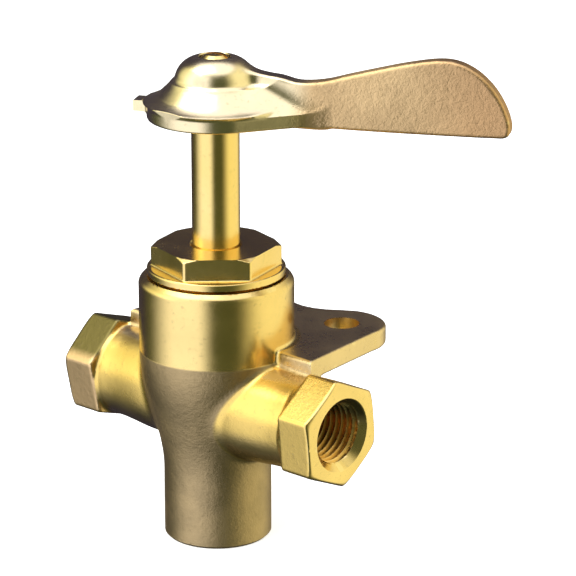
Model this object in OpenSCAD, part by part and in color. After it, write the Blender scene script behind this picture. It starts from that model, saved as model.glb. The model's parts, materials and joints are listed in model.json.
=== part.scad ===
// Three-way tapered plug valve with a long stem, a lever handle and a two-hole mounting flange.
// Origin: stem axis at the mouth of the bottom port. +Z up the stem, +X out of the right port,
// +Y towards the mounting flange.

/* [Body] */
// Radius of the lower barrel
barrel_r = 10.9; // [10.4:0.1:11.4]
// Radius of the upper body
body_r = 15.6; // [15.2:0.1:16.4]
// Height of the body's top face
body_top = 55.2; // [55:0.1:56]
// Height where the barrel starts to widen
taper_low = 16; // [14:0.5:18]
// Height where the upper body reaches its full radius
taper_high = 38; // [36:0.5:40]

/* [Side ports] */
// Height of the side ports' common axis
port_z = 29; // [28.6:0.1:29.4]
// Distance from the stem axis to a side port's face
port_reach = 33.5; // [33:0.1:36]
// Across flats of the hexagonal port ends
port_af = 19.7; // [19.4:0.1:20.5]
// Length of the hexagonal port ends
port_hex_len = 8; // [7:0.1:8.4]
// Turn of the right port's hexagon about the port axis
right_hex_turn = 36; // [0:1:59]
// Turn of the left port's hexagon about the port axis
left_hex_turn = 18; // [0:1:59]
// Radius of the round necks
neck_r = 9.5; // [9:0.1:9.6]

/* [Threads] */
// Radius of the wall that stands for the port threads
thread_r = 6.25; // [6:0.05:6.4]
// Depth of the port threads below the lead-in
thread_len = 12; // [11:0.1:12.5]
// Radius of the flow passages
flow_r = 3.5; // [3:0.1:3.6]

/* [Mounting flange] */
// Height of the flange's top face
flange_top = 42; // [41:0.1:43]
// Thickness of the flange
flange_t = 4; // [3.5:0.1:4.5]
// Distance between the two mounting holes
hole_pitch = 27.2; // [26:0.1:28]
// Distance from the stem axis to the line of the holes
hole_y = 22.6; // [22:0.1:24]
// Radius of the mounting holes
hole_r = 3.6; // [3:0.1:4]
// Radius of the rounded ear around each hole
ear_r = 9; // [8.5:0.1:9.5]

/* [Bonnet] */
// Across flats of the bonnet's hexagon
bonnet_af = 22.8; // [22:0.1:23.4]
// Radius of the bonnet's round collar
collar_r = 13.9; // [13.6:0.1:14.2]
// Height of the bonnet's top face
bonnet_top = 61.4; // [60.5:0.1:62.5]
// Turn of the bonnet's hexagon about the stem
bonnet_turn = -16; // [-30:1:30]

/* [Stem and plug] */
// Radius of the stem
stem_r = 4.8; // [4.7:0.05:4.9]
// Radius of the plug at its lower end
plug_r_low = 7; // [6.9:0.05:7.2]
// Radius of the plug at its upper end
plug_r_high = 8.4; // [8.3:0.05:8.5]

/* [Handle] */
// Angle of the lever from the right port in the drawn position
lever_angle = 27; // [0:1:60]
// Lowest point of the handle's disc
hub_low = 87.3; // [86:0.1:89]
// Radius of the handle's disc
disc_r = 13.5; // [13:0.1:14]
// Thickness of the lever's blade
blade_t = 4; // [3.4:0.1:4.6]

/* [Hidden] */
$fn = 96;

// Clearances: a running fit, a face-to-face gap between turning parts, and a cutter's overrun
run = 0.05;
gap = 0.1;
over = 1;
// Share of a disc's radius at which a straight outline starts, so that it leaves the disc cleanly
inset = 0.97;

// Chamber in the body, from the bottom up
thread_chamfer = 0.8;
seat_low = 20;
plug_top = 37;
chamber_r = 9.6;
bonnet_thread_r = 10.5;
bonnet_low = 46;
rim_chamfer = 1.5;
gasket_t = 1;
gasket_r_in = 10.9;
gasket_r_out = 12.4;

// Neck, and its flare beside the body
neck_end = port_reach - port_hex_len + over;
flare_r = 12.2;
flare_x0 = 11;
flare_x1 = 20;

// Flange outline
flange_half = 24.9;
scallop_y = 26.3;

// Bonnet, bushing and stop pin
collar_top = 57;
bush_r = 6.5;
bush_top = 50;
pin_r = 0.8;
pin_at_r = 8;
pin_angle = 90;
pin_low = 42.6;
pin_top = 49;

// Stem
stop_low = 42.3;
stop_top = 44.6;
stop_r = 9;
stop_hub_r = 6.9;
washer_t = 1.2;
tang_w = 3;
tang_len = 9;
tang_low = 33.7;
square_low = 89;
square_af = 6.4;
square_top = 96;
o_ring_zs = [52.2, 56.6];
groove_r = 3.6;
groove_w = 1.7;
o_ring_wire_r = 0.6;
screw_r = 1.9;
screw_hole_low = 86;
lever_range = [-lever_angle, 180 - lever_angle];

// Spring and its seats
seat_t = 0.6;
seat_r_in = 4.9;
seat_r_out = 6.9;
spring_r = 5.9;
spring_wire_r = 0.5;
spring_turns = 3;
spring_sides = 8;
spring_steps = 20;

// Handle: hub profile from the disc's rim to the crown, and the counterbore for the screw
hub_profile = [[disc_r, hub_low], [disc_r, 90.2], [12.6, 91.1], [10.8, 92.2], [8.9, 93.8],
    [8, 95.2], [7.4, 96.8], [6.3, 98.3], [4.6, 99.4], [3.2, 99.9]];
crown_z = 99.9;
bore_r = 3.1;
bore_low = 96.9;
washer_step = 0.6;
screw_head_r = 2.7;
tab_reach = 16.4;
tab_w = 4;
tab_z = [88, 90.2];
blade_root = 6.5;

// Web between the disc and the blade: how far it reaches, its half width there and its top
web_reach = 21.5;
web_tip = 1.6;
web_top = 90;

// Side view of the blade: distance from the stem axis and height
blade_outline = [[blade_root, 88], [blade_root, 96.9], [12.2, 96.7], [17.2, 95.7], [22.2, 96.3],
    [27.2, 97.7], [33.1, 99.3], [39.1, 100.8], [44.9, 101.9], [48.6, 101.6], [52.5, 99.9],
    [55.4, 97.4], [57.4, 94.7], [58.8, 91.8], [59.3, 89.1], [58.8, 87.8], [57.4, 87.2],
    [47.1, 86.9], [34, 86.7], [20, 86.8], [12, hub_low]];

brass_cast = [0.66, 0.56, 0.33];
brass_bright = [0.88, 0.70, 0.25];
steel = [0.70, 0.70, 0.72];
rubber = [0.10, 0.10, 0.11];
polymer = [0.90, 0.88, 0.82];

// Point just inside the ear on side 1 or -1, at an angle from the outward X direction
function ear_point(side, angle) =
    [side * (hole_pitch / 2 + inset * ear_r * cos(angle)), hole_y + inset * ear_r * sin(angle)];

// Cylinder along +X from x0 to x1
module along_x(x0, x1, r, r_end) {
    translate([x0, 0, 0]) rotate([0, 90, 0]) cylinder(h = x1 - x0, r1 = r, r2 = r_end);
}

// Flat ring
module ring(z0, z1, r_in, r_out) {
    translate([0, 0, z0]) difference() {
        cylinder(h = z1 - z0, r = r_out);
        translate([0, 0, -over]) cylinder(h = z1 - z0 + 2 * over, r = r_in);
    }
}

// Hexagonal prism, across flats af
module hexagon(af, h) {
    cylinder(h = h, r = af / sqrt(3), $fn = 6);
}

// One side port's flare and hexagonal end, pointing along +X
module port_outside(hex_turn) {
    along_x(flare_x0, flare_x1, flare_r, neck_r);
    translate([port_reach - port_hex_len, 0, 0]) rotate([hex_turn, 0, 0]) rotate([0, 90, 0])
        rotate([0, 0, 90]) hexagon(port_af, port_hex_len);
}

// The right port's threaded mouth with its lead-in chamfer, to cut inwards from its face
module port_mouth() {
    thread_end = port_reach - thread_chamfer;
    along_x(thread_end, port_reach + over, thread_r, thread_r + thread_chamfer + over);
    along_x(thread_end - thread_len, thread_end + gap, thread_r, thread_r);
}

module mounting_flange() {
    translate([0, 0, flange_top - flange_t]) linear_extrude(flange_t) difference() {
        union() {
            polygon([[-flange_half, 0], [flange_half, 0], ear_point(1, 0), ear_point(1, 120),
                [0, scallop_y], ear_point(-1, 120), ear_point(-1, 0)]);
            for (side = [-1, 1])
                translate([side * hole_pitch / 2, hole_y]) circle(r = ear_r);
        }
        for (side = [-1, 1])
            translate([side * hole_pitch / 2, hole_y]) circle(r = hole_r);
    }
}

// Bottom passage, tapered plug seat, spring chamber, bonnet thread and gasket recess
module chamber() {
    rotate_extrude() polygon([[0, thread_len - over], [flow_r, thread_len - over],
        [flow_r, seat_low], [plug_r_low + run, seat_low], [plug_r_high + run, plug_top],
        [chamber_r, plug_top], [chamber_r, bonnet_low], [bonnet_thread_r, bonnet_low],
        [bonnet_thread_r, body_top - gasket_t], [gasket_r_out, body_top - gasket_t],
        [gasket_r_out, body_top + over], [0, body_top + over]]);
}

module valve_body() {
    color(brass_cast) difference() {
        union() {
            rotate_extrude() polygon([[0, 0], [barrel_r, 0], [barrel_r, taper_low],
                [body_r, taper_high], [body_r, body_top - rim_chamfer],
                [body_r - rim_chamfer, body_top], [0, body_top]]);
            translate([0, 0, port_z]) along_x(-neck_end, neck_end, neck_r, neck_r);
            translate([0, 0, port_z]) port_outside(right_hex_turn);
            translate([0, 0, port_z]) rotate([0, 0, 180]) port_outside(left_hex_turn);
            mounting_flange();
        }
        for (side = [0, 180])
            translate([0, 0, port_z]) rotate([0, 0, side]) port_mouth();
        translate([0, 0, -over]) cylinder(h = thread_len + over, r = thread_r);
        translate([0, 0, port_z]) along_x(-neck_end, neck_end, flow_r, flow_r);
        chamber();
    }
}

module bonnet() {
    color(brass_bright) difference() {
        union() {
            translate([0, 0, bonnet_low]) cylinder(h = body_top - bonnet_low, r = bonnet_thread_r - run);
            translate([0, 0, body_top]) cylinder(h = collar_top - body_top, r = collar_r);
            translate([0, 0, collar_top]) rotate([0, 0, bonnet_turn])
                hexagon(bonnet_af, bonnet_top - collar_top);
        }
        translate([0, 0, bonnet_low - over])
            cylinder(h = bonnet_top - bonnet_low + 2 * over, r = stem_r + run);
        translate([0, 0, bonnet_low - over]) cylinder(h = bush_top - bonnet_low + over, r = bush_r);
        rotate([0, 0, pin_angle]) translate([pin_at_r, 0, 0]) cylinder(h = pin_top, r = pin_r);
    }
}

module bonnet_gasket() {
    color(polymer) ring(body_top - gasket_t, body_top, gasket_r_in, gasket_r_out - run);
}

module stem_bushing() {
    color(polymer) ring(bonnet_low, bush_top, stem_r + run, bush_r);
}

module stop_pin() {
    color(steel) rotate([0, 0, pin_angle]) translate([pin_at_r, 0, pin_low])
        cylinder(h = pin_top - pin_low, r = pin_r);
}

// The plug's passage turns from straight down to the lever's direction
module tapered_plug() {
    color(brass_bright) rotate([0, 0, lever_angle]) difference() {
        translate([0, 0, seat_low]) cylinder(h = plug_top - seat_low, r1 = plug_r_low,
            r2 = plug_r_high);
        translate([0, 0, seat_low - over]) cylinder(h = port_z - seat_low + over, r = flow_r);
        translate([0, 0, port_z]) sphere(r = flow_r);
        translate([0, 0, port_z]) along_x(0, plug_r_high + over, flow_r, flow_r);
        translate([-tang_len / 2 - gap, -tang_w / 2 - run, tang_low - gap])
            cube([tang_len + 2 * gap, tang_w + 2 * run, plug_top]);
    }
}

module spring_seat_lower() {
    color(steel) ring(plug_top, plug_top + seat_t, seat_r_in, seat_r_out);
}

module spring_seat_upper() {
    color(steel) ring(stop_low - seat_t, stop_low, seat_r_in, seat_r_out);
}

// Compression spring: a round wire on a helix between the two seats
module plug_spring() {
    z0 = plug_top + seat_t + spring_wire_r;
    z1 = stop_low - seat_t - spring_wire_r;
    steps = spring_turns * spring_steps;
    ring_points = [for (i = [0:steps], k = [0:spring_sides - 1])
        let (a = 360 * i / spring_steps, b = 360 * k / spring_sides,
            r = spring_r + spring_wire_r * cos(b))
        [r * cos(a), r * sin(a), z0 + (z1 - z0) * i / steps + spring_wire_r * sin(b)]];
    side_faces = [for (i = [0:steps - 1], k = [0:spring_sides - 1])
        let (next = (k + 1) % spring_sides)
        [i * spring_sides + k, i * spring_sides + next,
            (i + 1) * spring_sides + next, (i + 1) * spring_sides + k]];
    first_cap = [for (k = [spring_sides - 1:-1:0]) k];
    last_cap = [for (k = [0:spring_sides - 1]) steps * spring_sides + k];
    color(steel) polyhedron(points = ring_points,
        faces = concat(side_faces, [first_cap], [last_cap]), convexity = 6);
}

// Sector of the stop collar that is cut away, so that the stop pin limits the lever's turn
module stop_cutaway() {
    pin_half = asin(pin_r / pin_at_r) + 1;
    first = pin_angle - lever_range[1] - pin_half;
    last = pin_angle - lever_range[0] + pin_half;
    reach = 2 * stop_r;
    steps = 12;
    translate([0, 0, stop_low - over]) linear_extrude(stop_top - stop_low + 2 * over) difference() {
        polygon(concat([[0, 0]], [for (i = [0:steps])
            let (a = first + (last - first) * i / steps) [reach * cos(a), reach * sin(a)]]));
        circle(r = stop_hub_r);
    }
}

module stem() {
    color(brass_bright) difference() {
        union() {
            translate([0, 0, stop_low]) cylinder(h = square_low - stop_low, r = stem_r);
            translate([0, 0, stop_low]) cylinder(h = stop_top - stop_low, r = stop_r);
            rotate([0, 0, lever_angle]) translate([-tang_len / 2, -tang_w / 2, tang_low])
                cube([tang_len, tang_w, stop_low - tang_low + gap]);
            rotate([0, 0, lever_angle]) translate([-square_af / 2, -square_af / 2, square_low - over])
                cube([square_af, square_af, square_top - square_low + over]);
        }
        stop_cutaway();
        for (z = o_ring_zs)
            ring(z - groove_w / 2, z + groove_w / 2, groove_r, stem_r + over);
        translate([0, 0, screw_hole_low]) cylinder(h = square_top, r = screw_r + run);
    }
}

module thrust_washer() {
    color(polymer) ring(stop_top, stop_top + washer_t, stem_r + run, stop_hub_r - gap);
}

module o_ring(z) {
    color(rubber) translate([0, 0, z]) rotate_extrude()
        translate([groove_r + o_ring_wire_r, 0]) circle(r = o_ring_wire_r, $fn = 32);
}

module stem_o_ring_lower() {
    o_ring(o_ring_zs[0]);
}

module stem_o_ring_upper() {
    o_ring(o_ring_zs[1]);
}

// Plate whose straight sides narrow from the disc into the blade
module blade_web() {
    lean = asin((disc_r - web_tip) / web_reach);
    root = inset * disc_r;
    translate([0, 0, hub_low]) linear_extrude(web_top - hub_low)
        polygon([[root * sin(lean), root * cos(lean)], [root * sin(lean), -root * cos(lean)],
            [web_reach, -web_tip], [web_reach, web_tip]]);
}

module lever_handle() {
    color(brass_cast) rotate([0, 0, lever_angle]) difference() {
        union() {
            rotate_extrude() polygon(concat([[0, hub_low]], hub_profile, [[0, crown_z]]));
            rotate([90, 0, 0]) translate([0, 0, -blade_t / 2]) linear_extrude(blade_t)
                polygon(blade_outline);
            blade_web();
            translate([-tab_reach, -tab_w / 2, tab_z[0]])
                cube([tab_reach, tab_w, tab_z[1] - tab_z[0]]);
        }
        translate([0, 0, hub_low - 2 * over])
            cylinder(h = square_low - hub_low + 2 * over, r = stem_r + run);
        translate([-square_af / 2, -square_af / 2, hub_low])
            cube([square_af, square_af, square_top + run - hub_low]);
        cylinder(h = crown_z, r = screw_r + gap);
        translate([0, 0, bore_low]) cylinder(h = crown_z, r = bore_r);
    }
}

module flat_washer() {
    color(steel) ring(bore_low, bore_low + washer_step, screw_r + run, bore_r - gap);
}

module lock_washer() {
    z0 = bore_low + washer_step;
    color(steel) difference() {
        ring(z0, z0 + washer_step, screw_r + run, screw_head_r);
        rotate([0, 0, lever_angle + 45]) translate([0, -gap, z0 - over])
            cube([2 * screw_head_r, 2 * gap, washer_step + 2 * over]);
    }
}

// Slotted button-head screw in the middle of the crown
module handle_screw() {
    z0 = bore_low + 2 * washer_step;
    head_h = 1.3;
    dome_h = 0.9;
    slot_w = 0.8;
    slot_turn = 20;
    color(brass_bright) difference() {
        rotate_extrude() polygon([[0, screw_hole_low + over], [screw_r, screw_hole_low + over],
            [screw_r, z0], [screw_head_r, z0], [screw_head_r, z0 + head_h],
            [0.7 * screw_head_r, z0 + head_h + 0.7 * dome_h], [0, z0 + head_h + dome_h]]);
        rotate([0, 0, slot_turn]) translate([-2 * screw_head_r, -slot_w / 2, z0 + head_h])
            cube([4 * screw_head_r, slot_w, 2 * dome_h]);
    }
}

valve_body();
bonnet();
bonnet_gasket();
stem_bushing();
stop_pin();
tapered_plug();
spring_seat_lower();
plug_spring();
spring_seat_upper();
stem();
thrust_washer();
stem_o_ring_lower();
stem_o_ring_upper();
lever_handle();
flat_washer();
lock_washer();
handle_screw();
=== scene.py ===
import json
import math
import bpy
import numpy as np
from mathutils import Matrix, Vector


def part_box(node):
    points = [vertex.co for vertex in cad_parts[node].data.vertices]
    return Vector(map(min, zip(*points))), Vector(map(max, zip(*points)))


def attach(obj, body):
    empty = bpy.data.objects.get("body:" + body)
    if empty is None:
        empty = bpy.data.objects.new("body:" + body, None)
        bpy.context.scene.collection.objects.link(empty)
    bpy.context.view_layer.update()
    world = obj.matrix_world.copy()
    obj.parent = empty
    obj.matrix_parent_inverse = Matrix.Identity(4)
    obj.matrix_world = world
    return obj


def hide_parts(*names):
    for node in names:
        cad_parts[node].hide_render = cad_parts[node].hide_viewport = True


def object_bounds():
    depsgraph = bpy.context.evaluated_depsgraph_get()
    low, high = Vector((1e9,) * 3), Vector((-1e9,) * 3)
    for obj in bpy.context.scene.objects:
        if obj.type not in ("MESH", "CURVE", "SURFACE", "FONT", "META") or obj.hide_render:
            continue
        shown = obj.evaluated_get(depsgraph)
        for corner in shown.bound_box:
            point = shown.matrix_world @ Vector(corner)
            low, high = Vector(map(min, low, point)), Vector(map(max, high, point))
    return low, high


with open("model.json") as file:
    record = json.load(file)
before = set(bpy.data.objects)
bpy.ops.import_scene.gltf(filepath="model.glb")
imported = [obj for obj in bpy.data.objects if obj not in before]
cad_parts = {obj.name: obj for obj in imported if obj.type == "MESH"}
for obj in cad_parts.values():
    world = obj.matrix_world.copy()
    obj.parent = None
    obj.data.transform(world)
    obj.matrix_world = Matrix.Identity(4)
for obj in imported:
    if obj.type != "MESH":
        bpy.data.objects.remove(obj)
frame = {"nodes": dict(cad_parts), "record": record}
cad_low, cad_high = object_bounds()

# Lengths below are in millimetres and become metres when a mesh is made.
MM = 0.001
DETAIL = 0.3


# ---------------------------------------------------------------- sizes read from the CAD frame

def node_box(name):
    """Lowest and highest corner of a CAD node, in millimetres."""
    low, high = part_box(name)
    return np.array(low) / MM, np.array(high) / MM


body_low, body_high = node_box("valve_body")
bonnet_low, bonnet_high = node_box("bonnet")
stem_low, stem_high = node_box("stem")
lever_low, lever_high = node_box("lever_handle")
WASHER_Z = node_box("flat_washer")[0][2]
mounts = {m["name"]: m for m in frame["record"]["mounts"]}

PORT_REACH = body_high[0]
BODY_TOP = body_high[2]
PORT_Z = mounts["right_port"]["pos_m"][2] / MM
HOLE_Y = mounts["flange_holes"]["pos_m"][1] / MM
HOLE_X = mounts["flange_holes"]["dims"]["spacing_x_mm"] / 2
HOLE_R = mounts["flange_holes"]["dims"]["hole_r_mm"]
FLANGE_TOP = mounts["flange_holes"]["pos_m"][2] / MM
EAR_R = body_high[1] - HOLE_Y
BONNET_TOP = bonnet_high[2]

# The CAD's own dimensions, which the frame doesn't hold. R is a radius, AF a width across flats.
BARREL_R, BODY_R = 10.9, 15.6
TAPER_LOW, TAPER_HIGH = 14, 40
NECK_R = 9.5
PORT_AF = 19.7
RIGHT_TURN, LEFT_TURN = math.radians(36), math.radians(42)
HEX_START = PORT_REACH - 8
PLATE = 4
PASSAGE_R = 3.5
SEAT_LOW, SEAT_HIGH = 20, 37
BONNET_AF = 22.8
BONNET_TURN = math.radians(-16)
COLLAR_R, COLLAR_TOP = 13.9, 57
STEM_R = 4.8
DISC_R = 13.5
HUB_LOW, RIM_TOP = 87.3, 90.0
SOCKET_TOP = 89
KEY = 3.2
RECESS_R = 3.1
LEVER_ANGLE = math.radians(27)


# ---------------------------------------------------------------- fields: negative inside a shape

def soft_min(a, b, k):
    """Union of two fields with a fillet about k wide."""
    h = np.maximum(k - np.abs(a - b), 0) / k
    return np.minimum(a, b) - h * h * k / 4


def soft_max(a, b, k):
    """Intersection of two fields with an edge rounded over about k."""
    return -soft_min(-a, -b, k)


def slope(u, v):
    """Distance across a 45 degree chamfer between the directions u and v."""
    return (u + v) * 0.7071


def ramp(low, high, v):
    """Smooth step from 0 at low to 1 at high."""
    t = np.clip((v - low) / (high - low), 0, 1)
    return t * t * (3 - 2 * t)


def hexagon(u, v, across, turn, k):
    """Hexagon by its width across flats, the corners rounded over about k.

    Its first corner is turned from u towards v."""
    sides = []
    for i in range(3):
        a = turn + math.radians(30 + 60 * i)
        sides.append(np.abs(u * math.cos(a) + v * math.sin(a)) - across / 2)
    return soft_max(soft_max(sides[0], sides[1], k), sides[2], k)


def lever_frame(x, y):
    """Coordinates along and across the lever in its rest position."""
    return (x * math.cos(LEVER_ANGLE) + y * math.sin(LEVER_ANGLE),
            y * math.cos(LEVER_ANGLE) - x * math.sin(LEVER_ANGLE))


class Outline:
    """Signed distance to a closed 2-D outline, kept as a fine table."""

    def __init__(self, points, step=0.1, margin=6):
        p = np.array(points, float)
        self.low, self.step = p.min(0) - margin, step
        size = np.ceil((p.max(0) + margin - self.low) / step).astype(int) + 1
        u = self.low[0] + step * np.arange(size[0])[:, None]
        v = self.low[1] + step * np.arange(size[1])[None, :]
        best = np.full(size, 1e9)
        inside = np.zeros(size, bool)
        for a, b in zip(p, np.roll(p, -1, 0)):
            e = b - a
            t = np.clip(((u - a[0]) * e[0] + (v - a[1]) * e[1]) / (e @ e), 0, 1)
            best = np.minimum(best, (u - a[0] - t * e[0]) ** 2 + (v - a[1] - t * e[1]) ** 2)
            if a[1] != b[1]:
                crosses = (v >= min(a[1], b[1])) & (v < max(a[1], b[1]))
                inside ^= crosses & (u < a[0] + (v - a[1]) * e[0] / e[1])
        self.table = (np.sqrt(best) * np.where(inside, -1, 1)).astype(np.float32)

    def __call__(self, u, v):
        i, j = (u - self.low[0]) / self.step, (v - self.low[1]) / self.step
        n, m = self.table.shape
        i, j = np.clip(i, 0, n - 1.001), np.clip(j, 0, m - 1.001)
        i0, j0 = i.astype(int), j.astype(int)
        a, b = i - i0, j - j0
        t = self.table
        return ((t[i0, j0] * (1 - a) + t[i0 + 1, j0] * a) * (1 - b)
                + (t[i0, j0 + 1] * (1 - a) + t[i0 + 1, j0 + 1] * a) * b)


def curve(points, steps=8):
    """Smooth closed curve through the points (Catmull-Rom)."""
    p = np.array(points, float)
    before, after, beyond = np.roll(p, 1, 0), np.roll(p, -1, 0), np.roll(p, -2, 0)
    t = (np.arange(steps) / steps)[None, :, None]
    a, b, c, d = (q[:, None, :] for q in (before, p, after, beyond))
    out = 0.5 * (2 * b + (c - a) * t + (2 * a - 5 * b + 4 * c - d) * t ** 2
                 + (3 * b - a - 3 * c + d) * t ** 3)
    return out.reshape(-1, 2)


# ---------------------------------------------------------------- meshing a field

SLAB = 32
PROBE = 0.03
STIFFNESS = 0.08


def contour(name, field, box_low, box_high, cell):
    """Mesh of field == 0 by dual contouring, which keeps edges and corners crisp.

    The grid starts a broken number of cells outside the box, so that flat faces don't fall on
    grid planes. The finished points are kept inside the box."""
    low = box_low - 2.37 * cell
    counts = np.ceil((box_high + 2 * cell - low) / cell).astype(int) + 1
    axes = [low[i] + cell * np.arange(counts[i]) for i in range(3)]
    values = np.empty(counts, np.float32)
    for i in range(0, counts[0], SLAB):
        values[i:i + SLAB] = field(axes[0][i:i + SLAB, None, None], axes[1][None, :, None],
                                   axes[2][None, None, :])
    inside = values < 0

    # Each grid edge that crosses the surface gives a point, a normal and the four cells round it.
    points, normals, cells, flips = [], [], [], []
    for a in range(3):
        b, c = (a + 1) % 3, (a + 2) % 3
        lower, upper = [slice(None)] * 3, [slice(None)] * 3
        lower[a], upper[a] = slice(0, -1), slice(1, None)
        index = np.argwhere(inside[tuple(lower)] != inside[tuple(upper)])
        p = low + index * cell
        step = np.zeros(3, int)
        step[a] = 1
        v0 = values[tuple(index.T)].astype(float)
        v1 = values[tuple((index + step).T)].astype(float)
        t0, t1 = np.zeros(len(p)), np.ones(len(p))
        for _ in range(4):
            t = np.clip(t0 + (t1 - t0) * v0 / (v0 - v1), t0, t1)
            q = p + (t * cell)[:, None] * step
            v = field(q[:, 0], q[:, 1], q[:, 2])
            same = (v < 0) == (v0 < 0)
            t0, v0 = np.where(same, t, t0), np.where(same, v, v0)
            t1, v1 = np.where(same, t1, t), np.where(same, v1, v)
        normal = np.empty_like(q)
        for i in range(3):
            d = np.zeros(3)
            d[i] = PROBE
            normal[:, i] = field(*(q + d).T) - field(*(q - d).T)
        normal /= np.maximum(np.linalg.norm(normal, axis=1), 1e-9)[:, None]
        around = []
        for db, dc in ((-1, -1), (0, -1), (0, 0), (-1, 0)):
            n = index.copy()
            n[:, b] += db
            n[:, c] += dc
            around.append(np.ravel_multi_index(n.T, counts))
        points.append(q)
        normals.append(normal)
        cells.append(np.stack(around, 1))
        flips.append(~inside[tuple(index.T)])

    # Each cell gets one point, near the middle of its own and closest to all its planes.
    q, n = np.concatenate(points), np.concatenate(normals)
    quads, flip = np.concatenate(cells), np.concatenate(flips)
    ids, inverse = np.unique(quads, return_inverse=True)
    quads = inverse.reshape(quads.shape)
    flat, total = quads.ravel(), len(ids)
    each = np.repeat(np.arange(len(q)), 4)

    def gather(w):
        return np.bincount(flat, weights=w[each], minlength=total)

    count = gather(np.ones(len(q)))
    middle = np.stack([gather(q[:, i]) for i in range(3)], 1) / count[:, None]
    square = np.empty((total, 3, 3))
    for i in range(3):
        for j in range(i, 3):
            square[:, i, j] = square[:, j, i] = gather(n[:, i] * n[:, j])
    along = np.einsum("ij,ij->i", n, q)
    right = np.stack([gather(n[:, i] * along) for i in range(3)], 1)
    right -= np.einsum("nij,nj->ni", square, middle)
    stiff = square + STIFFNESS * np.eye(3)
    shift = np.linalg.solve(stiff, right[:, :, None])[:, :, 0]
    corner = low + np.stack(np.unravel_index(ids, counts), 1) * cell
    place = np.clip(middle + shift, corner - 0.1 * cell, corner + 1.1 * cell)
    place = np.clip(place, box_low, box_high)
    quads[flip] = quads[flip][:, ::-1]
    return mesh_piece(name, place, quads)


def mesh_piece(name, points, faces):
    """A mesh object from points in millimetres."""
    mesh = bpy.data.meshes.new(name)
    mesh.from_pydata((np.asarray(points) * MM).tolist(), [], np.asarray(faces).tolist())
    mesh.update()
    mesh.polygons.foreach_set("use_smooth", [True] * len(mesh.polygons))
    mesh.set_sharp_from_angle(angle=math.radians(32))
    piece = bpy.data.objects.new(name, mesh)
    bpy.context.scene.collection.objects.link(piece)
    return piece


# ---------------------------------------------------------------- the casting

def thread_hollow(s, pipe, angle):
    """A countersunk taper thread: s is the depth from the face, pipe the distance from the axis."""
    pitch, taper, height = 1.411, 1 / 32, 0.95
    root, mouth, depth = 6.05, 7.45, 12.2
    turn = s / pitch - angle / (2 * math.pi)
    wave = np.abs((turn % 1) - 0.5) * 2
    r = root - taper * s + height * (np.clip(wave * 1.15, 0, 1) - 0.15) * ramp(0.7, 1.9, s)
    r = np.maximum(r, mouth - np.maximum(s, 0))
    wall = (pipe - r) * 0.55
    return soft_max(wall, (s - depth + 0.45 * (pipe - PASSAGE_R)) * 0.9, 0.3)


def flange_outline():
    """Two ears round the holes, a scalloped far edge and a straight root along the necks."""
    half, scallop = 24.9, 26.3
    ear = [(HOLE_X + EAR_R * math.cos(a), HOLE_Y + EAR_R * math.sin(a))
           for a in np.radians(np.linspace(-4, 112, 16))]
    dip = [(HOLE_X * (1 - t) * 0.62, scallop + (ear[-1][1] - scallop) * (1 - t) ** 2 * 0.82)
           for t in (0.12, 0.4, 0.7)]
    right = [(half, 0.5)] + ear + dip
    left = [(-u, v) for u, v in right[::-1]]
    return Outline(right + [(0, scallop)] + left)


flange = flange_outline()


def body_field(x, y, z):
    rho = np.hypot(x, y)
    radius = BARREL_R + (BODY_R - BARREL_R) * ramp(TAPER_LOW, TAPER_HIGH, z)
    rim_chamfer, foot_chamfer = 1.15, 0.5
    shell = (rho - radius) * 0.95
    shell = soft_max(shell, slope(rho, z - (BODY_R + BODY_TOP - rim_chamfer)), 0.5)
    shell = np.maximum(shell, z - BODY_TOP)
    shell = np.maximum(shell, slope(rho, -z - (BARREL_R - foot_chamfer)))
    shell = np.maximum(shell, -z)

    reach, side = np.abs(x), np.sign(x)
    pipe = np.hypot(y, z - PORT_Z)
    low_side = ramp(3, -9, z - PORT_Z) * ramp(2, -8, y * side)
    flare = (0.7 + 1.5 * low_side * (x < 0)) * ramp(23, 12, reach)
    neck = np.maximum((pipe - NECK_R - flare) * 0.95, reach - HEX_START - 1)
    cast = soft_min(shell, neck, 1.5)

    rounding = 0.7
    inset = flange(x, y)
    plate_edge = np.maximum(inset + rounding, 0)
    plate_face = np.abs(z - FLANGE_TOP + PLATE / 2) - PLATE / 2
    plate = np.hypot(plate_edge, np.maximum(plate_face + rounding, 0)) - rounding
    plate = np.where((plate_edge > 0) | (plate_face > -rounding), plate,
                     np.maximum(inset, plate_face))
    plate = np.maximum(plate, HOLE_R - np.hypot(reach - HOLE_X, y - HOLE_Y))
    cast = soft_min(cast, plate, 1.1)

    nut = np.where(x > 0, hexagon(y, z - PORT_Z, PORT_AF, RIGHT_TURN, 0.6),
                   hexagon(y, z - PORT_Z, PORT_AF, LEFT_TURN, 0.6))
    nut = soft_max(nut, reach - PORT_REACH, 0.7)
    nut = soft_max(nut, HEX_START - reach, 0.7)
    nut = soft_max(nut, pipe * 0.5 + reach * 0.866 - (PORT_REACH * 0.866 + PORT_AF * 0.264), 0.5)
    fillet = 0.05 + 0.85 * ramp(HEX_START + 0.8, HEX_START - 0.4, reach)
    solid = soft_min(cast, nut, fillet)

    mouth = thread_hollow(PORT_REACH - reach, pipe, np.arctan2(y * side, z - PORT_Z))
    drop = thread_hollow(z, rho, np.arctan2(x, y))
    flow = np.minimum(pipe - PASSAGE_R, soft_max(rho - PASSAGE_R, z - SEAT_LOW - 1, 0.1))
    seat = np.maximum(rho - (7.05 + 1.4 * (z - SEAT_LOW) / (SEAT_HIGH - SEAT_LOW)), SEAT_LOW - z)
    seat = np.maximum(seat, z - SEAT_HIGH - 0.1)
    room = np.maximum(rho - np.where(z < 46, 9.6, 10.5), SEAT_HIGH - z)
    hollow = np.minimum(np.minimum(mouth, drop), np.minimum(np.minimum(flow, seat), room))
    return np.maximum(solid, -hollow)


# ---------------------------------------------------------------- the bonnet

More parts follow.
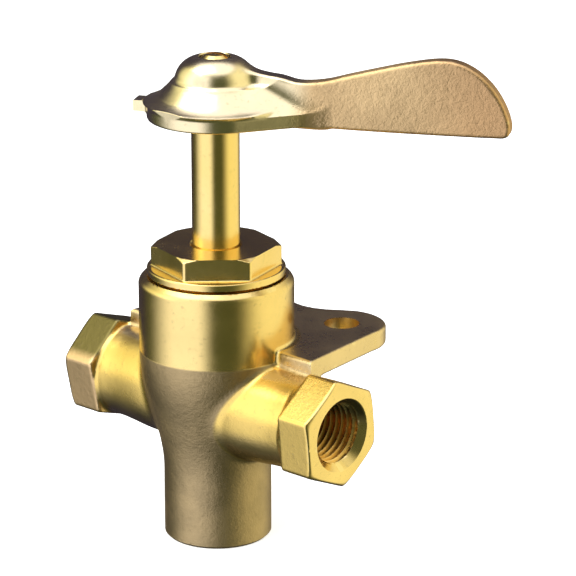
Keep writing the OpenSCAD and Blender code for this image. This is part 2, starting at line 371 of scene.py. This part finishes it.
def bonnet_field(x, y, z):
    rho = np.hypot(x, y)
    nut = hexagon(x, y, BONNET_AF, BONNET_TURN, 0.4)
    nut = soft_max(nut, rho * 0.5 + z * 0.866 - (BONNET_TOP * 0.866 + BONNET_AF * 0.262), 0.15)
    nut = np.maximum(nut, z - BONNET_TOP)
    nut = np.maximum(nut, COLLAR_TOP - 0.5 - z)
    collar = soft_max(rho - COLLAR_R, z - COLLAR_TOP, 0.5)
    gap, thread_r, seal_r, seal_top = 0.4, 10.4, 6.5, 50
    collar = soft_max(collar, BODY_TOP + gap * ramp(12, 12.6, rho) - z, 0.2)
    skirt = np.maximum(rho - thread_r, bonnet_low[2] - z)
    skirt = np.maximum(skirt, z - BODY_TOP - 0.6)
    solid = np.minimum(soft_min(nut, collar, 0.5), skirt)
    bore = STEM_R + 0.05 + np.maximum(0.5 - (BONNET_TOP - z), 0)
    wide = np.maximum(rho - seal_r, z - seal_top)
    return np.maximum(solid, -np.minimum(rho - bore, wide))


# ---------------------------------------------------------------- the handle, along its own +X

# Profiles in millimetres: the hub as radius and height, the blade as length and height.

HUB_RISE = [(12.6, 90.4), (11.2, 91.2), (9.9, 92.2), (8.8, 93.6), (8.1, 95.2), (7.5, 96.8),
            (6.6, 98.1), (5.3, 99.05), (3.8, 99.6), (2.0, 99.85), (0.4, 99.9)]
BLADE = [(5, 88.2), (6, 96.4), (12.2, 96.7), (17.2, 95.8), (22.2, 96.3), (27.2, 97.7), (33.1, 99.3),
         (39.1, 100.8), (44.9, 101.8), (48.8, 101.5), (52.3, 99.9), (55.2, 97.4), (57.3, 94.5),
         (58.7, 91.4), (59.1, 88.9), (58.2, 87.4), (55, 87.15), (47.1, 87.0), (34, 86.9),
         (20, 87.0), (12, HUB_LOW + 0.1)]

crown = curve([(-u, v) for u, v in HUB_RISE] + HUB_RISE[::-1])
hub = Outline([p for p in crown.tolist() if p[1] > 90.3] + [(12.6, 89), (-12.6, 89)], 0.05)
blade = Outline(curve(BLADE))


def teardrop(x, y):
    """Disc that narrows to the blade's root: two circles and their common tangents."""
    far, r_far = 20.5, 1.9
    b = (DISC_R - r_far) / far
    a = math.sqrt(1 - b * b)
    side = np.abs(y)
    k = -b * side + a * x
    round_near = np.hypot(x, side) - DISC_R
    round_far = np.hypot(x - far, side) - r_far
    straight = side * a + x * b - DISC_R
    return np.where(k < 0, round_near, np.where(k > a * far, round_far, straight))


def lever_field(gx, gy, z):
    x, y = lever_frame(gx, gy)
    rho = np.hypot(x, y)
    bell = hub(rho, z)
    drop = teardrop(x, y)
    rim = soft_max(soft_max(drop, z - RIM_TOP, 0.5), HUB_LOW - z, 0.6)
    roof = soft_max((drop + 1.1 * (z - RIM_TOP)) * 0.67, 89 - z, 0.5)
    roof = np.maximum(roof, np.maximum(z - 94.5, drop))
    side = blade(x, z)
    flat = np.abs(y) - (2.0 - 0.25 * ramp(20, 50, x))
    edge = 0.8
    paddle = np.hypot(np.maximum(side + edge, 0), np.maximum(flat + edge, 0)) - edge
    paddle = np.where((side > -edge) | (flat > -edge), paddle, np.maximum(side, flat))
    tab = np.maximum(np.maximum(-15.6 - x, x + 9),
                     np.maximum(np.abs(y) - 1.3, np.abs(z - 89.1) - 0.4)) - 0.7
    solid = soft_min(bell, roof, 1.2)
    solid = np.minimum(solid, rim)
    solid = soft_min(solid, paddle, 2.4)
    solid = soft_min(solid, tab, 1.0)
    socket = np.maximum(rho - STEM_R - 0.05, z - SOCKET_TOP)
    key = np.maximum(np.maximum(np.abs(x), np.abs(y)) - KEY, z - 96.05)
    screw = rho - 2.0
    recess = np.maximum(rho - RECESS_R, WASHER_Z - z)
    lead_in = slope(rho - RECESS_R, 99.5 - z)
    hollow = np.minimum(np.minimum(socket, key), np.minimum(screw, recess))
    hollow = np.minimum(hollow, np.maximum(lead_in, 99 - z))
    return np.maximum(solid, -hollow)


# ---------------------------------------------------------------- the stem

def stem_field(gx, gy, z):
    x, y = lever_frame(gx, gy)
    rho = np.hypot(x, y)
    across = np.maximum(np.abs(x), np.abs(y))
    shank = soft_max(rho - STEM_R, np.abs(z - 66) - 23.1, 0.4)
    for groove_z in (52.2, 56.6):
        shank = np.maximum(shank, -np.maximum(3.6 - rho, np.abs(z - groove_z) - 0.85))
    collar = soft_max(rho - 9, np.abs(z - 43.45) - 1.15, 0.3)
    away = np.degrees(np.abs(np.arctan2(y, x)))
    collar = np.maximum(collar, np.minimum((97 - away) * 0.1, rho - 6.9))
    tang = np.maximum(np.maximum(np.abs(x) - 4.5, np.abs(y) - 1.5), np.abs(z - 38.1) - 4.4)
    square = soft_max(across - KEY, rho - 4.35, 0.2)
    square = np.maximum(square, np.abs(z - 92) - 4)
    solid = np.minimum(np.minimum(shank, collar), np.minimum(tang, square))
    return np.maximum(solid, -np.maximum(rho - 1.95, 86 - z))


# ---------------------------------------------------------------- shader nodes

class Graph:
    """Short forms for building shader nodes."""

    def __init__(self, tree):
        self.nodes, self.links = tree.nodes, tree.links

    def feed(self, socket, value):
        if isinstance(value, bpy.types.NodeSocket):
            self.links.new(value, socket)
        else:
            socket.default_value = value

    def add(self, kind, inputs=(), **settings):
        node = self.nodes.new("ShaderNode" + kind)
        for key, value in settings.items():
            setattr(node, key, value)
        for key, value in dict(inputs).items():
            self.feed(node.inputs[key], value)
        return node

    def math(self, operation, *values):
        return self.add("Math", enumerate(values), operation=operation).outputs[0]

    def sum(self, *values):
        total = values[0]
        for value in values[1:]:
            total = self.math("ADD", total, value)
        return total

    def times(self, *values):
        total = values[0]
        for value in values[1:]:
            total = self.math("MULTIPLY", total, value)
        return total

    def length(self, a, b):
        return self.math("SQRT", self.sum(self.times(a, a), self.times(b, b)))

    def ramp(self, value, low, high, start=0.0, end=1.0):
        node = self.add("MapRange", {"Value": value, "From Min": low, "From Max": high,
                                     "To Min": start, "To Max": end},
                        interpolation_type="SMOOTHSTEP")
        return node.outputs["Result"]

    def blend(self, share, first, second):
        node = self.add("Mix", data_type="RGBA")
        self.feed(node.inputs["Factor"], share)
        for socket, value in zip(node.inputs[6:8], (first, second)):
            self.feed(socket, (*value, 1) if isinstance(value, tuple) else value)
        return node.outputs[2]

    def noise(self, place, scale, detail=3.0, rough=0.55):
        node = self.add("TexNoise", {"Vector": place, "Scale": scale, "Detail": detail,
                                     "Roughness": rough})
        return node.outputs["Fac"]

    def split(self, vector):
        return self.add("SeparateXYZ", {0: vector}).outputs[:]

    def join(self, *parts):
        return self.add("CombineXYZ", enumerate(parts)).outputs[0]


def material(name):
    """A new material, its graph, its shader and the object's own coordinates."""
    m = bpy.data.materials.new(name)
    m.use_nodes = True
    g = Graph(m.node_tree)
    shader = m.node_tree.nodes["Principled BSDF"]
    place = g.add("TexCoord").outputs["Object"]
    return m, g, shader, place


def turned(g, place):
    """Height of fine turning marks round the Z axis, the same all the way round."""
    x, y, z = g.split(place)
    rings = g.join(g.length(x, y), 0.0, z)
    return g.sum(g.times(g.noise(rings, 5200.0, 2.0), 0.6),
                 g.times(g.noise(rings, 1500.0, 2.0), 0.4))


def brass(name, light, dark, rough, grain, turning, zones=None):
    """Brass with grain, turning marks, tarnished hollows and polished edges.

    zones gives, from the graph and the place, a list of finished areas: the share of it at each
    point, its colour, its roughness and how much of the grain and the turning marks it keeps."""
    m, g, shader, place = material(name)
    patch = g.noise(place, 85.0, 4.0)
    speck = g.noise(place, 900.0, 4.0, 0.65)
    sand = g.noise(place, 2600.0, 3.0, 0.6)
    point = g.add("NewGeometry").outputs["Pointiness"]
    edge = g.ramp(point, 0.515, 0.58)
    hollow = g.ramp(point, 0.488, 0.44)
    tone = g.blend(g.ramp(patch, 0.35, 0.68), dark, light)
    rough_here, grain_here, lines_here = rough, grain, turning
    for share, colour, finish, kept, marks in (zones(g, place) if zones else []):
        worn = g.blend(g.ramp(patch, 0.35, 0.68), tuple(0.9 * v for v in colour), colour)
        tone = g.blend(share, tone, worn)
        left = g.math("SUBTRACT", 1.0, share)
        rough_here = g.sum(g.times(rough_here, left), g.times(share, finish))
        grain_here = g.sum(g.times(grain_here, left), g.times(share, grain * kept))
        lines_here = g.sum(g.times(lines_here, left), g.times(share, marks))
    spots = g.times(g.ramp(speck, 0.55, 0.78), 0.3)
    tone = g.blend(spots, tone, tuple(0.6 * v for v in dark))
    tone = g.blend(g.times(edge, 0.35), tone, (0.96, 0.80, 0.42))
    tone = g.blend(g.times(hollow, 0.6), tone, (0.34, 0.20, 0.06))
    g.feed(shader.inputs["Base Color"], tone)
    shader.inputs["Metallic"].default_value = 1.0
    level = g.sum(g.times(g.math("SUBTRACT", patch, 0.5), 0.2), rough_here,
                  g.times(edge, -0.06), g.times(hollow, 0.12),
                  g.times(g.math("SUBTRACT", speck, 0.5), 0.12))
    g.feed(shader.inputs["Roughness"], g.math("MAXIMUM", level, 0.08))
    height = g.sum(g.times(sand, 0.5, grain_here), g.times(speck, grain_here),
                   g.times(turned(g, place), lines_here))
    bump = g.add("Bump", {"Height": height, "Strength": 1.0, "Distance": 1.0 * MM})
    g.feed(shader.inputs["Normal"], bump.outputs[0])
    return m


def body_zones(g, place):
    """The casting's finished areas, and its areas of painted shade.

    The necks and ports are worked bright and are duller below, where painted shade also darkens the
    colour; the left hexagon has painted shade on its top; the flange is satin, the top of the
    barrel is turned, and the bores are orange with painted shade in their upper part."""
    x, y, z = g.split(place)
    rho = g.length(x, y)
    pipe = g.length(y, g.math("SUBTRACT", z, PORT_Z * MM))
    reach = g.math("ABSOLUTE", x)
    skin = g.ramp(z, TAPER_LOW * MM, TAPER_HIGH * MM, BARREL_R * MM, BODY_R * MM)
    worked = g.times(g.ramp(g.math("SUBTRACT", rho, skin), 0.2 * MM, 0.6 * MM),
                     g.ramp(x, (-HEX_START - 0.4) * MM, (-HEX_START + 0.2) * MM))
    plate = g.times(g.ramp(z, 37.6 * MM, 38.2 * MM), g.ramp(rho, 16.4 * MM, 17.2 * MM),
                    g.ramp(z, 42.4 * MM, 42.2 * MM),
                    g.ramp(reach, (HEX_START - 0.3) * MM, (HEX_START - 0.6) * MM))
    # The lower side of each neck: a duller cast finish, and a darker colour there that is painted
    # shade.
    dull_shaded_underside = g.times(worked, g.ramp(z, 28.5 * MM, 23.5 * MM),
                    g.ramp(reach, (HEX_START + 0.2) * MM, (HEX_START - 0.4) * MM))
    top = g.times(g.ramp(z, 39.5 * MM, 40.0 * MM), g.ramp(rho, 16.3 * MM, 15.9 * MM))
    face = g.ramp(reach, (PORT_REACH - 0.5) * MM, (PORT_REACH - 0.2) * MM)
    inside = g.times(g.ramp(pipe, 7.4 * MM, 7.2 * MM), g.ramp(reach, 19 * MM, 20 * MM))
    deep = g.times(inside, g.ramp(reach, (PORT_REACH - 1.2) * MM, (PORT_REACH - 3.5) * MM))
    # Painted shade: the upper part of each bore is coloured dark.
    painted_bore_shade = g.times(inside, g.ramp(z, (PORT_Z - 1) * MM, (PORT_Z + 3) * MM))
    left_hex = g.ramp(x, (-HEX_START + 0.2) * MM, (-HEX_START - 0.2) * MM)
    # Painted shade: the top of the left hexagon is coloured dark olive, standing in for shade.
    painted_top_shade = g.times(left_hex, g.ramp(z, 32.8 * MM, 34.6 * MM))
    return [(worked, WORKED, 0.27, 0.35, 0.0), (dull_shaded_underside, (0.52, 0.40, 0.21), 0.34, 0.6, 0.0),
            (left_hex, (0.84, 0.58, 0.29), 0.34, 0.6, 0.0),
            (painted_top_shade, (0.19, 0.155, 0.05), 0.38, 0.7, 0.0),
            (plate, (0.84, 0.64, 0.33), 0.30, 0.7, 0.0), (top, TURNED, 0.23, 0.05, 0.012),
            (g.math("MAXIMUM", face, inside), TURNED, 0.22, 0.1, 0.0),
            (deep, (1.0, 0.54, 0.12), 0.40, 0.4, 0.0), (painted_bore_shade, (0.13, 0.11, 0.055), 0.4, 0.4, 0.0)]


def hub_zones(g, place):
    """The handle: its hub is smooth, and the blade turns redder towards its end."""
    x, y, z = g.split(place)
    along = g.sum(g.times(x, math.cos(LEVER_ANGLE)), g.times(y, math.sin(LEVER_ANGLE)))
    return [(g.ramp(along, 36 * MM, 56 * MM), (0.68, 0.42, 0.20), 0.42, 1.0, 0.0),
            (g.ramp(along, 21 * MM, 15 * MM), (0.96, 0.80, 0.48), 0.22, 0.08, 0.006)]


def plain(name, light, dark, rough, metal, grain):
    """A material with soft mottling and fine grain, for the small inner parts."""
    m, g, shader, place = material(name)
    patch = g.noise(place, 400.0, 4.0)
    fine = g.noise(place, 4000.0, 3.0)
    g.feed(shader.inputs["Base Color"], g.blend(g.ramp(patch, 0.3, 0.7), dark, light))
    shader.inputs["Metallic"].default_value = metal
    g.feed(shader.inputs["Roughness"], g.sum(g.times(patch, 0.2), rough - 0.1))
    bump = g.add("Bump", {"Height": fine, "Strength": 1.0, "Distance": grain * MM})
    g.feed(shader.inputs["Normal"], bump.outputs[0])
    return m


TURNED, WORKED = (0.94, 0.70, 0.27), (0.91, 0.64, 0.18)


# ---------------------------------------------------------------- camera, light and floor

AZIMUTH, ELEVATION = math.radians(42.0), math.radians(18.0)


def camera():
    """The photograph's viewing angle, with a long lens. view is the width seen at the valve."""
    distance, view = 0.62, 0.1152
    back = Vector((math.sin(AZIMUTH) * math.cos(ELEVATION),
                   -math.cos(AZIMUTH) * math.cos(ELEVATION), math.sin(ELEVATION)))
    right = Vector((math.cos(AZIMUTH), math.sin(AZIMUTH), 0))
    target = right * 14.3 * MM + Vector((0, 0, 52.0 * MM))
    data = bpy.data.cameras.new("camera")
    data.sensor_width = 36.0
    data.lens = data.sensor_width * distance / view
    data.clip_start, data.clip_end = 0.01, 50
    cam = bpy.data.objects.new("camera", data)
    bpy.context.scene.collection.objects.link(cam)
    cam.location = target + back * distance
    cam.rotation_mode = "QUATERNION"
    cam.rotation_quaternion = (-back).to_track_quat("-Z", "Y")
    bpy.context.scene.camera = cam


def studio():
    """A room of soft panels by direction: bright left, right and above, dark between and behind.

    Each panel is a share by the angles round and up from the camera's side, and a colour. The
    camera itself sees plain white."""
    world = bpy.data.worlds.new("studio")
    bpy.context.scene.world = world
    world.use_nodes = True
    g = Graph(world.node_tree)
    x, y, z = g.split(g.add("TexCoord").outputs["Generated"])
    right = g.sum(g.times(x, math.cos(AZIMUTH)), g.times(y, math.sin(AZIMUTH)))
    front = g.sum(g.times(x, math.sin(AZIMUTH)), g.times(y, -math.cos(AZIMUTH)))
    way = g.times(g.math("ARCTAN2", right, front), 180 / math.pi)
    height = g.times(g.math("ARCSINE", z), 180 / math.pi)
    level = g.times(g.ramp(height, -57.0, -32.0), g.ramp(height, 60.0, 40.0))
    aside = g.math("ABSOLUTE", way)
    panels = [
        (g.times(g.ramp(way, -116.0, -62.0), g.ramp(way, -2.0, -27.0), level), (1.18, 1.20, 1.40)),
        (g.times(g.ramp(way, -142.0, -112.0), g.ramp(way, -58.0, -76.0),
                 g.ramp(height, -10.0, 12.0), g.ramp(height, 70.0, 55.0)), (0.95, 0.93, 0.60)),
        (g.times(g.ramp(way, 28.0, 74.0), g.ramp(way, 160.0, 122.0), level), (1.04, 0.98, 0.68)),
        (g.ramp(height, 46.0, 60.0), (1.30, 1.32, 1.50)),
        (g.ramp(aside, 140.0, 110.0), (0.085, 0.098, 0.050)),
        (g.ramp(aside, 110.0, 140.0), (0.048, 0.042, 0.070))]
    glow = g.join(*(g.sum(*(g.times(share, colour[i]) for share, colour in panels))
                    for i in range(3)))
    lit = g.add("Background", {"Color": glow, "Strength": 1.0})
    seen = g.add("Background", {"Color": (1, 1, 1, 1), "Strength": 0.985})
    pick = g.add("MixShader", {0: g.add("LightPath").outputs["Is Camera Ray"], 1: lit.outputs[0],
                               2: seen.outputs[0]})
    g.feed(world.node_tree.nodes["World Output"].inputs["Surface"], pick.outputs[0])


def lamp(name, place, size, power, colour):
    """A square soft light at a place in metres, facing the valve."""
    data = bpy.data.lights.new(name, "AREA")
    data.size, data.energy, data.color = size, power, colour
    obj = bpy.data.objects.new(name, data)
    bpy.context.scene.collection.objects.link(obj)
    obj.location = place
    obj.rotation_mode = "QUATERNION"
    obj.rotation_quaternion = (Vector(place) - Vector((0, 0, 0.05))).to_track_quat("Z", "Y")


def floor():
    """A wide pale floor, kept out of mirror images so that the panels alone are reflected."""
    half, rings, spokes = 4.0, 24, 48
    points = [(0.0, 0.0, 0.0)]
    for i in range(1, rings + 1):
        r = half * (i / rings) ** 2
        points += [(r * math.cos(a), r * math.sin(a), 0.0)
                   for a in (2 * math.pi * k / spokes for k in range(spokes))]
    faces = [(0, 1 + k, 1 + (k + 1) % spokes) for k in range(spokes)]
    for i in range(rings - 1):
        a = 1 + spokes * i
        b = a + spokes
        faces += [(a + k, b + k, b + (k + 1) % spokes, a + (k + 1) % spokes)
                  for k in range(spokes)]
    mesh = bpy.data.meshes.new("floor")
    mesh.from_pydata(points, [], faces)
    obj = bpy.data.objects.new("floor", mesh)
    bpy.context.scene.collection.objects.link(obj)
    obj.location.z = cad_low[2] - 0.05 * MM
    m, g, shader, place = material("floor_paper")
    g.feed(shader.inputs["Base Color"], g.blend(g.noise(place, 300.0), (0.93, 0.93, 0.93),
                                                (0.97, 0.97, 0.97)))
    shader.inputs["Roughness"].default_value = 0.9
    shader.inputs["Specular IOR Level"].default_value = 0.0
    shader.inputs["Emission Color"].default_value = (1.0, 1.0, 1.0, 1.0)
    shader.inputs["Emission Strength"].default_value = 0.72
    mesh.materials.append(m)
    obj.visible_glossy = False


# ---------------------------------------------------------------- build

camera()
studio()
floor()
lamp("overhead", (-0.25, -0.35, 1.1), 0.9, 4.0, (1.0, 0.99, 0.97))

casting_brass = brass("casting_brass", (0.54, 0.40, 0.205), (0.39, 0.29, 0.15), 0.46, 0.09, 0.0,
                      zones=body_zones)
handle_brass = brass("handle_brass", (0.86, 0.60, 0.30), (0.66, 0.45, 0.22), 0.42, 0.15, 0.0,
                     zones=hub_zones)
turned_brass = brass("turned_brass", TURNED, (0.90, 0.66, 0.23), 0.23, 0.004, 0.010)
steel = plain("steel", (0.62, 0.62, 0.64), (0.42, 0.42, 0.44), 0.35, 1.0, 0.01)
rubber = plain("rubber", (0.05, 0.05, 0.055), (0.03, 0.03, 0.033), 0.55, 0.0, 0.02)
polymer = plain("polymer", (0.88, 0.86, 0.80), (0.78, 0.76, 0.70), 0.45, 0.0, 0.01)

slots = {"cast_brass": casting_brass, "bright_brass": turned_brass, "steel": steel,
         "rubber": rubber, "polymer": polymer}
for part in frame["record"]["subparts"]:
    node = frame["nodes"][part["node"]]
    node.data.materials.clear()
    node.data.materials.append(slots[part["material_slot"]])


def place_piece(name, field, box_low, box_high, cell, surface, body, node):
    """Mesh a field, ride it on its body and let it stand for its CAD node."""
    piece = contour(name, field, box_low, box_high, cell)
    piece.data.materials.append(surface)
    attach(piece, body)
    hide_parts(node)


place_piece("body_casting", body_field, body_low, body_high, DETAIL, casting_brass, "body",
            "valve_body")
place_piece("bonnet_cap", bonnet_field, bonnet_low, bonnet_high, DETAIL * 0.7, turned_brass,
            "body", "bonnet")
place_piece("handle_casting", lever_field, lever_low, lever_high, DETAIL * 0.8, handle_brass,
            "lever", "lever_handle")
place_piece("stem_rod", stem_field, stem_low, stem_high, DETAIL * 0.8, turned_brass, "lever",
            "stem")

bpy.context.scene.view_settings.view_transform = "Standard"
